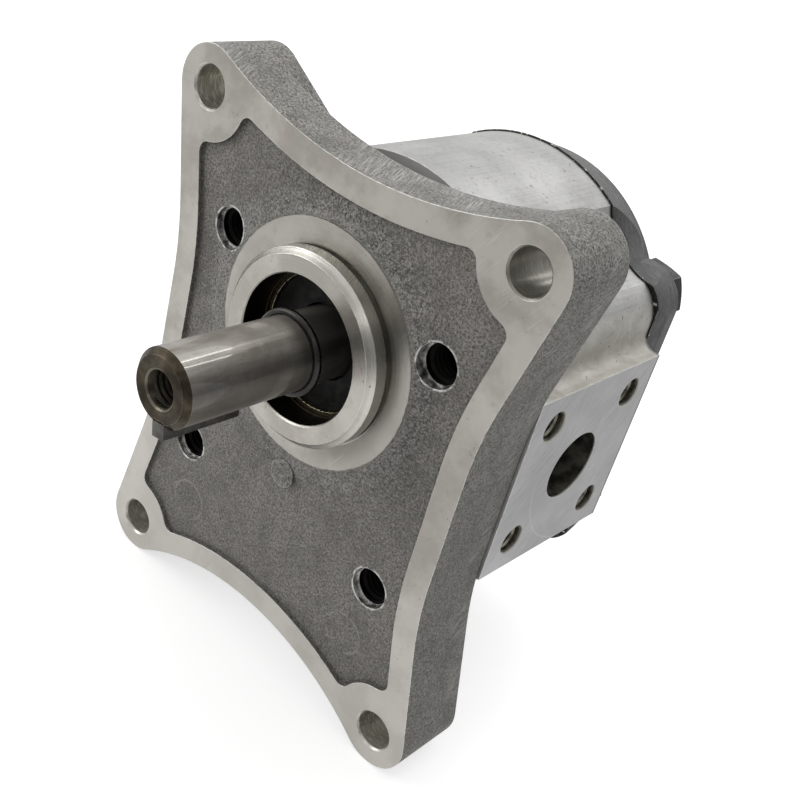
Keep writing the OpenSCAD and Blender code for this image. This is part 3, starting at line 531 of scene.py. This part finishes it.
def cover_material():
    g = Graph("cover_iron")
    cloud = g.noise(0.07, 3.0, 0.55)
    grain = g.noise(1.7, 4.0, 0.6)
    dark = g.paint(g.step(grain, 0.36, 0.66), (0.016, 0.0165, 0.017), (0.055, 0.056, 0.056))
    dark = g.paint(g.step(cloud, 0.38, 0.66, 0.0, 0.45), dark, (0.088, 0.088, 0.086))
    around = g.angle(g.x, g.minus(g.z, MID_Z))
    brush = g.noise(1.0, 3.0, 0.6, g.combine(g.times(g.y, 3.0), g.times(around, 22.0), 0.0))
    side = g.step(g.absolute(g.ny), 0.85, 0.6)
    color = g.paint(g.both(side, g.step(brush, 0.42, 0.66), 0.5), dark, (0.10, 0.10, 0.099))
    lines = g.both(side, g.lines(around, g.add(g.y, g.times(around, 9.0)), 4.4, 9.0, 0.60, 0.08))
    color = g.paint(g.both(lines, 0.45), color, (0.19, 0.19, 0.187))
    back = g.step(g.ny, 0.8, 0.95)
    along, across = g.slanted(g.x, g.z, 21)
    ground = g.noise(1.0, 3.0, 0.6, g.combine(g.times(across, 3.0), g.times(along, 0.08), 0.0))
    color = g.paint(g.both(back, 0.35), color, (0.12, 0.12, 0.118))
    color = g.paint(g.both(back, g.step(ground, 0.40, 0.68), 0.35), color, (0.17, 0.17, 0.168))
    pits = g.step(g.noise(1.0, 3.0, 0.6), 0.33, 0.27)
    color = g.paint(g.both(pits, 0.8), color, (0.02, 0.02, 0.02))
    seam = g.step(g.y, HOUSING_BACK + 0.9, HOUSING_BACK + 0.2)
    color = g.paint(g.both(seam, 0.7), color, (0.025, 0.024, 0.022))
    glint = g.both(seam, g.step(g.noise(1.1, 2.0, 0.5), 0.63, 0.68))
    color = g.paint(g.both(glint, 0.9), color, (0.80, 0.80, 0.78))
    edge, rounded = g.edges(0.35)
    worn = g.both(edge, g.step(g.openness(0.8), 0.55, 0.85), g.step(g.noise(0.5, 3.0), 0.34, 0.55))
    color = g.paint(g.both(worn, 0.6), color, (0.36, 0.36, 0.355))
    rough = g.blend(g.most(lines, worn), g.step(grain, 0.3, 0.7, 0.36, 0.52), 0.30)
    height = g.add(g.times(grain, 0.09), g.times(g.both(brush, side), 0.05),
                   g.times(g.both(ground, back), 0.02), g.times(pits, -0.06),
                   g.times(g.noise(0.2, 2.0), 0.20))
    return g.finish(color, rough, 0.78, g.bump(height, rounded))


def bolt_material():
    g = Graph("bolt_steel")
    cloud = g.noise(0.22, 3.0, 0.6)
    color = g.paint(g.step(cloud, 0.36, 0.66), (0.018, 0.018, 0.019), (0.042, 0.042, 0.041))
    grain = g.noise(2.2, 4.0, 0.6)
    color = g.paint(g.both(g.step(grain, 0.52, 0.70), 0.35), color, (0.07, 0.069, 0.066))
    brown = g.step(g.noise(0.5, 4.0, 0.65), 0.58, 0.70)
    color = g.paint(g.both(brown, 0.4), color, (0.13, 0.085, 0.055))
    pits = g.step(g.noise(1.6, 3.0, 0.6), 0.32, 0.27)
    color = g.paint(g.both(pits, 0.7), color, (0.02, 0.02, 0.02))
    edge, rounded = g.edges(0.25)
    worn = g.both(edge, g.step(g.openness(0.8), 0.5, 0.85), g.step(g.noise(0.8, 3.0), 0.30, 0.5))
    color = g.paint(g.both(worn, 0.75), color, (0.50, 0.50, 0.49))
    rough = g.blend(worn, g.step(grain, 0.3, 0.7, 0.34, 0.50), 0.28)
    height = g.add(g.times(grain, 0.05), g.times(pits, -0.05),
                   g.times(g.noise(0.6, 2.0), 0.06))
    return g.finish(color, rough, 0.85, g.bump(height, rounded))


def shaft_material():
    g = Graph("shaft_steel")
    r_axis = g.radius(g.x, g.z)
    around = g.angle(g.x, g.z)
    end_face = g.both(g.step(g.y, SHAFT_END + SHAFT_CHAMFER + 0.10,
                             SHAFT_END + SHAFT_CHAMFER - 0.05), g.step(g.ny, -0.3, -0.5))
    flat_end = g.step(g.ny, -0.85, -0.95)
    rings = g.noise(1.0, 3.0, 0.6, g.combine(g.times(g.y, 7.0), g.times(around, 1.2), 0.0))
    long_lines = g.noise(1.0, 3.0, 0.6, g.combine(g.times(around, 9.0), g.times(g.y, 0.12), 0.0))
    cloud = g.noise(0.11, 4.0, 0.6)
    color = g.paint(g.step(cloud, 0.34, 0.68), (0.175, 0.161, 0.140), (0.275, 0.257, 0.228))
    color = g.paint(g.step(rings, 0.36, 0.68, 0.0, 0.30), color, (0.34, 0.33, 0.312))
    color = g.paint(g.both(g.step(long_lines, 0.52, 0.68), 0.35), color, (0.14, 0.13, 0.114))
    stain = g.step(g.noise(0.24, 5.0, 0.66, distortion=0.8), 0.55, 0.70)
    color = g.paint(g.both(stain, 0.42), color, (0.20, 0.168, 0.115))
    spots = g.step(g.noise(1.2, 3.0, 0.6), 0.33, 0.28)
    color = g.paint(g.both(spots, 0.65), color, (0.12, 0.10, 0.07))
    scuff = g.both(g.lines(around, g.y, 5.0, 1.3, 0.66, 0.05), g.step(g.noise(0.2, 2.0), 0.45, 0.6))
    color = g.paint(g.both(scuff, 0.4), color, (0.50, 0.49, 0.475))
    olive = g.paint(g.step(g.noise(0.5, 4.0, 0.62), 0.34, 0.68), (0.034, 0.027, 0.018),
                    (0.075, 0.062, 0.044))
    spun = g.noise(1.0, 3.0, 0.6, g.combine(g.times(r_axis, 6.0), 0.0, 0.0))
    olive = g.paint(g.step(spun, 0.40, 0.68, 0.0, 0.35), olive, (0.105, 0.092, 0.07))
    color = g.paint(end_face, color, olive)
    # painted shade: the shaft darker on its lower right side
    film_and_shade = g.step(g.add(g.times(g.x, 0.8), g.times(g.z, -0.6)), 1.0, 6.0)
    color = g.paint(g.both(film_and_shade, g.inverse(end_face), 0.62), color, (0.062, 0.055, 0.046))
    # inside the bore the shaft is oiled, and darkened as painted shade
    oiled_and_shaded = g.both(g.step(g.y, -11.0, -8.0), g.step(g.y, 20.0, 18.0))
    color = g.paint(g.both(oiled_and_shaded, 0.80), color, (0.085, 0.080, 0.070))
    gears = g.both(g.step(g.y, GEAR_FRONT - 0.5, GEAR_FRONT - 0.1),
                   g.step(g.y, GEAR_BACK + 0.5, GEAR_BACK + 0.1))
    color = g.paint(gears, color, (0.50, 0.49, 0.47))
    in_hole = g.both(g.step(r_axis, END_THREAD_R + 0.35, END_THREAD_R + 0.25),
                     g.step(g.y, -20, -21))
    color = g.paint(in_hole, color, (0.17, 0.15, 0.118))
    edge, rounded = g.edges(0.18)
    worn = g.both(edge, g.step(g.openness(0.6), 0.5, 0.85), g.step(g.noise(0.9, 3.0), 0.28, 0.5))
    color = g.paint(g.both(worn, 0.5), color, (0.45, 0.42, 0.35))
    rough = g.add(g.step(rings, 0.3, 0.7, 0.33, 0.39), g.times(stain, 0.08))
    rough = g.blend(end_face, rough, 0.36)
    rough = g.blend(flat_end, rough, 0.42)
    height = g.add(g.times(rings, 0.006), g.times(g.both(spun, end_face), 0.02),
                   g.times(spots, -0.012))
    barrel = g.inverse(g.most(end_face, g.step(g.absolute(g.ny), 0.2, 0.4)))
    g.put(g.shader.inputs["Coat Weight"], g.both(barrel, 0.5))
    tangent = g.tree.nodes.new("ShaderNodeTangent")
    tangent.direction_type = "RADIAL"
    tangent.axis = "Y"
    g.put(g.shader.inputs["Tangent"], tangent.outputs[0])
    g.shader.inputs["Anisotropic"].default_value = 1.0
    g.shader.inputs["Anisotropic Rotation"].default_value = 0.25
    g.shader.inputs["Coat Roughness"].default_value = 0.05
    g.shader.inputs["Coat IOR"].default_value = 1.9
    return g.finish(color, rough, 1.0, g.bump(height, rounded))


def plain_metal(name, low, high, rough, scale, edge_wear_and_glint, stain=None, bump=0.03):
    """A metal with clouds, a fine grain and lighter edges: wear, and on the retaining ring a
    painted highlight.
    """
    g = Graph(name)
    color = g.paint(g.step(g.noise(scale * 0.18, 3.0, 0.6), 0.35, 0.66), low, high)
    grain = g.noise(scale, 4.0, 0.6)
    color = g.paint(g.step(grain, 0.50, 0.72, 0.0, 0.35), color, [min(1.0, c * 1.5) for c in high])
    if stain is not None:
        color = g.paint(g.both(g.step(g.noise(scale * 0.35, 4.0, 0.65), 0.52, 0.68), 0.6), color,
                        stain)
    shine = g.step(grain, 0.3, 0.7, rough - 0.06, rough + 0.08)
    rounded = None
    if edge_wear_and_glint is not None:
        edge, rounded = g.edges(0.15)
        worn = g.both(edge, g.step(g.openness(0.6), 0.5, 0.85),
                      g.step(g.noise(1.0, 3.0), 0.30, 0.5))
        color = g.paint(g.both(worn, 0.6), color, edge_wear_and_glint)
        shine = g.blend(worn, shine, max(0.15, rough - 0.10))
    return g.finish(color, shine, 0.9, g.bump(g.times(grain, bump), rounded))


def rubber_material():
    g = Graph("black_rubber")
    around = g.angle(g.x, g.z)
    film_and_shade = g.noise(0.35, 4.0, 0.62)
    color = g.paint(g.step(film_and_shade, 0.36, 0.70), (0.006, 0.006, 0.006), (0.018, 0.017, 0.015))
    rib = g.noise(1.0, 2.0, 0.5, g.combine(
        g.times(g.radius(g.x, g.z), 2.2), g.times(around, 0.4), 0.0))
    dust = g.step(g.noise(2.4, 3.0, 0.6), 0.62, 0.72)
    color = g.paint(g.both(dust, 0.25), color, (0.06, 0.055, 0.045))
    rough = g.step(film_and_shade, 0.35, 0.70, 0.60, 0.42)
    g.shader.inputs["Specular IOR Level"].default_value = 0.2
    height = g.add(g.times(rib, 0.06), g.times(g.noise(3.0, 3.0), 0.03))
    return g.finish(color, rough, 0.0, g.bump(height))


def plastic_material():
    g = Graph("backup_plastic")
    grain = g.noise(1.4, 3.0, 0.55)
    color = g.paint(g.step(grain, 0.35, 0.68), (0.70, 0.67, 0.58), (0.82, 0.80, 0.72))
    color = g.paint(g.both(g.step(g.noise(0.3, 4.0), 0.55, 0.7), 0.4), color, (0.45, 0.40, 0.28))
    return g.finish(color, g.step(grain, 0.3, 0.7, 0.42, 0.58), 0.0, g.bump(g.times(grain, 0.03)))


flange_metal = flange_material()
housing_metal = housing_material()
cover_metal = cover_material()
bolt_metal = bolt_material()
shaft_metal = shaft_material()
key_metal = plain_metal("key_steel", (0.060, 0.057, 0.053), (0.115, 0.109, 0.101), 0.42, 1.6,
                        (0.24, 0.23, 0.21), (0.06, 0.05, 0.04))
ring_metal = plain_metal("snap_ring_steel", (0.026, 0.025, 0.023), (0.042, 0.040, 0.037), 0.24, 1.0,
                         None, None, 0.004)
# painted highlight: the retaining ring's bright golden edges
golden_metal = plain_metal("retaining_ring_steel", (0.060, 0.050, 0.034), (0.13, 0.11, 0.075),
                           0.26, 0.5, (0.86, 0.76, 0.54), None, 0.004)
tapped_metal = plain_metal("tapped_thread", (0.13, 0.122, 0.095), (0.27, 0.255, 0.205), 0.26, 1.0,
                           (0.55, 0.53, 0.46), (0.06, 0.052, 0.035))
# painted shade: the threads in the tie-bolt holes near black
shaded_thread = plain_metal("shaded_thread", (0.004, 0.004, 0.004), (0.009, 0.009, 0.008), 0.62, 1.0,
                          None)
end_thread = plain_metal("shaft_thread", (0.075, 0.067, 0.053), (0.15, 0.137, 0.110), 0.42, 1.0,
                         None, (0.03, 0.025, 0.018))
block_metal = plain_metal("bearing_block_metal", (0.40, 0.38, 0.33), (0.56, 0.54, 0.48), 0.34, 0.9,
                          (0.80, 0.78, 0.72), (0.30, 0.26, 0.18))
bush_metal = plain_metal("bush_bronze", (0.36, 0.25, 0.13), (0.55, 0.40, 0.22), 0.32, 1.2,
                         (0.85, 0.70, 0.45), (0.16, 0.12, 0.07))
gear_metal = plain_metal("gear_steel", (0.42, 0.41, 0.39), (0.60, 0.59, 0.57), 0.22, 1.0,
                         (0.85, 0.84, 0.82), (0.30, 0.27, 0.20))
dowel_metal = plain_metal("dowel_steel", (0.45, 0.45, 0.45), (0.62, 0.62, 0.61), 0.24, 1.3,
                          (0.85, 0.85, 0.85))
spring_metal = plain_metal("spring_steel", (0.34, 0.33, 0.31), (0.55, 0.54, 0.52), 0.26, 2.0,
                           (0.80, 0.79, 0.77))
rubber = rubber_material()
plastic = plastic_material()

LOOKS = {
    "front_flange": flange_metal, "gear_housing": housing_metal, "rear_cover": cover_metal,
    "tie_bolts": bolt_metal, "drive_gear_shaft": shaft_metal, "driven_gear_shaft": gear_metal,
    "shaft_key": key_metal, "shaft_snap_ring": ring_metal, "seal_retaining_ring": golden_metal,
    "front_bearing_block": block_metal, "rear_bearing_block": block_metal,
    "drive_front_bush": bush_metal, "drive_rear_bush": bush_metal,
    "driven_front_bush": bush_metal, "driven_rear_bush": bush_metal,
    "front_dowels": dowel_metal, "rear_dowels": dowel_metal, "seal_garter_spring": spring_metal,
    "front_backup_strips": plastic, "rear_backup_strips": plastic,
    "front_housing_seal": rubber, "rear_housing_seal": rubber,
    "front_block_seal": rubber, "rear_block_seal": rubber,
    "shaft_seal_case": rubber, "shaft_seal_lip": rubber,
}
for name, ob in nodes.items():
    ob.data.materials.clear()
    ob.data.materials.append(LOOKS[name])

THREAD_STEPS = 40       # per turn
THREAD_RUN_IN = 14      # steps in which the ridge rises to its full height
# Radii and lengths in mm, with the material, the body and the record's slot
PORT_THREAD = dict(wall_r=3.02, crest_r=2.66, pitch=1.0, length=9.5,
                   material=tapped_metal, body="housing", slot="housing_aluminium")
BOLT_THREAD = dict(wall_r=4.02, crest_r=3.35, pitch=1.25, length=7.3,
                   material=shaded_thread, body="housing", slot="cast_aluminium")
END_THREAD = dict(wall_r=3.62, crest_r=3.42, pitch=1.25, length=14.5,
                  material=end_thread, body="drive_shaft", slot="shaft_steel")
PORT_THREAD_START = 0.7     # below the port face
BOLT_THREAD_Y = 2.45
END_THREAD_START = 0.5
CORNERS = ((-1, -1), (-1, 1), (1, -1), (1, 1))


def thread(name, start, direction, wall_r, crest_r, pitch, length, material, body, slot):
    """A thread cut in a hole, as a helical ridge between the hole's wall and the crest radius."""
    bm = bmesh.new()
    profile = ((0.0, wall_r), (0.42, crest_r), (0.58, crest_r), (1.0, wall_r))
    out = Vector(direction).normalized()
    side = out.orthogonal().normalized()
    up = out.cross(side)
    rows = []
    for i in range(int(THREAD_STEPS * (length / pitch - 1)) + 1):
        angle = 2 * math.pi * i / THREAD_STEPS
        radial = side * math.cos(angle) + up * math.sin(angle)
        advance = pitch * i / THREAD_STEPS
        fade = min(1.0, i / THREAD_RUN_IN)
        rows.append([
            bm.verts.new((Vector(start) - out * (advance + pitch * share)
                          + radial * (wall_r + (r - wall_r) * fade)) * MM)
            for share, r in profile])
    for a, b in zip(rows, rows[1:]):
        for k in range(len(profile) - 1):
            bm.faces.new((a[k], a[k + 1], b[k + 1], b[k]))
    bmesh.ops.recalc_face_normals(bm, faces=bm.faces)
    bm.faces.ensure_lookup_table()
    middle = bm.faces[len(bm.faces) // 2]
    centre = middle.calc_center_median() / MM - Vector(start)
    if middle.normal.dot(centre - out * centre.dot(out)) > 0:
        bmesh.ops.reverse_faces(bm, faces=bm.faces)
    mesh = bpy.data.meshes.new(name)
    bm.to_mesh(mesh)
    bm.free()
    for polygon in mesh.polygons:
        polygon.use_smooth = False
    ob = bpy.data.objects.new(name, mesh)
    scene.collection.objects.link(ob)
    mesh.materials.append(material)
    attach(ob, body)


for side_name, sx in (("pressure", 1), ("suction", -1)):
    for i, (my, mz) in enumerate(CORNERS):
        thread(f"{side_name}_screw_thread_{i + 1}",
               (sx * (PORT_FACE_X - PORT_THREAD_START), PORT_Y + my * PORT_SCREW,
                MID_Z + mz * PORT_SCREW),
               (sx, 0, 0), **PORT_THREAD)
for i, (mx, mz) in enumerate(CORNERS):
    thread(f"tie_bolt_thread_{i + 1}", (mx * BOLT_X, BOLT_THREAD_Y, MID_Z + mz * BOLT_Z),
           (0, -1, 0), **BOLT_THREAD)
thread("shaft_end_thread", (0, SHAFT_END + END_THREAD_START, 0), (0, -1, 0), **END_THREAD)

FLOOR_HALF = 6.0                # m
FLOOR_Z = MIDDLE_Z - HOLE_Z - LOBE_R
FLOOR_TOP_UP = 0.66             # brings the lit floor up to white
FLOOR_MIRRORED = (0.12, 0.60)   # what metal sees of it, far away and in front of the pump


# Pale and plain, topped up to white only for what looks at it directly or in metal
def make_floor():
    mesh = bpy.data.meshes.new("floor")
    half, level = FLOOR_HALF, FLOOR_Z * MM
    mesh.from_pydata(
        [(-half, -half, level), (half, -half, level), (half, half, level), (-half, half, level)],
        [], [(0, 1, 2, 3)])
    ob = bpy.data.objects.new("floor", mesh)
    scene.collection.objects.link(ob)
    g = Graph("pale_floor")
    tone = g.paint(g.step(g.noise(0.01, 2.0), 0.3, 0.7), (0.50, 0.50, 0.50), (0.52, 0.52, 0.52))
    g.put(g.shader.inputs["Base Color"], tone)
    g.shader.inputs["Roughness"].default_value = 0.8
    path = g.tree.nodes.new("ShaderNodeLightPath")
    straight = g.most(path.outputs["Is Camera Ray"], path.outputs["Is Transmission Ray"])
    near = g.both(g.step(g.y, -380.0, -40.0), g.step(g.y, 120.0, 20.0))
    mirrored = g.both(path.outputs["Is Glossy Ray"], g.step(near, 0.0, 1.0, *FLOOR_MIRRORED))
    g.shader.inputs["Emission Color"].default_value = (1, 1, 1, 1)
    g.put(g.shader.inputs["Emission Strength"], g.most(g.times(straight, FLOOR_TOP_UP), mirrored))
    mesh.materials.append(g.material)


make_floor()


SHAFT_AIM = (0.003, -0.02, 0.008)
PUMP_AIM = (0, 0.02, 0)


def area_light(name, place, aim, size, power, length=None):
    """A square lamp, or with a length a tube. Metres and watts."""
    light = bpy.data.lights.new(name, "AREA")
    light.energy = power
    light.size = size
    if length:
        light.shape = "RECTANGLE"
        light.size_y = length
    ob = bpy.data.objects.new(name, light)
    scene.collection.objects.link(ob)
    ob.location = Vector(place)
    ob.rotation_euler = (Vector(aim) - Vector(place)).to_track_quat("-Z", "Y").to_euler()


area_light("top_softbox", (-0.35, 0.35, 1.1), PUMP_AIM, 0.9, 3.0)
area_light("left_softbox", (-0.9, -0.60, 0.45), (-0.02, 0.0, -0.04), 0.7, 4.2)
area_light("front_softbox", (0.45, -0.82, 0.60), PUMP_AIM, 0.25, 0.35)
area_light("left_tube", (-0.09, 0.61, 0.79), SHAFT_AIM, 0.04, 1.1, 1.0)
area_light("right_tube", (0.185, 0.61, 0.77), SHAFT_AIM, 0.04, 1.1, 1.0)


BRIGHT_SIDE = (-0.62, 0.38, 0.68)   # the studio is brightest up at the back left
MIRRORED = (0.30, 1.0)              # what metal sees of it, from its dim side to its bright side
DIFFUSE = (0.34, 0.80)              # what lights the surfaces, likewise


# White where it is seen directly, and a studio that is dimmer at the front right
def make_world():
    world = bpy.data.worlds.new("world")
    scene.world = world
    world.use_nodes = True
    tree = world.node_tree
    background = tree.nodes["Background"]
    background.inputs["Color"].default_value = (1, 1, 1, 1)

    def node(kind, operation=None, *values):
        new = tree.nodes.new(kind)
        if operation:
            new.operation = operation
        for socket, value in zip(new.inputs, values):
            if isinstance(value, bpy.types.NodeSocket):
                tree.links.new(value, socket)
            else:
                socket.default_value = value
        return new

    path = node("ShaderNodeLightPath").outputs
    direction = node("ShaderNodeTexCoord").outputs["Generated"]
    towards = node("ShaderNodeVectorMath", "DOT_PRODUCT", direction, BRIGHT_SIDE).outputs["Value"]
    studio = node("ShaderNodeMapRange", None, towards, -0.55, 0.45, *MIRRORED)
    studio.interpolation_type = "SMOOTHSTEP"
    soft = node("ShaderNodeMapRange", None, towards, -1.0, 1.0, *DIFFUSE).outputs[0]
    glossy = node("ShaderNodeMapRange", None, path["Is Glossy Ray"], 0.0, 1.0, soft,
                  studio.outputs[0]).outputs[0]
    straight = node("ShaderNodeMath", "MAXIMUM", path["Is Camera Ray"],
                    path["Is Transmission Ray"]).outputs[0]
    level = node("ShaderNodeMath", "MAXIMUM", straight, glossy).outputs[0]
    tree.links.new(level, background.inputs["Strength"])


make_world()

scene.view_settings.view_transform = "Standard"
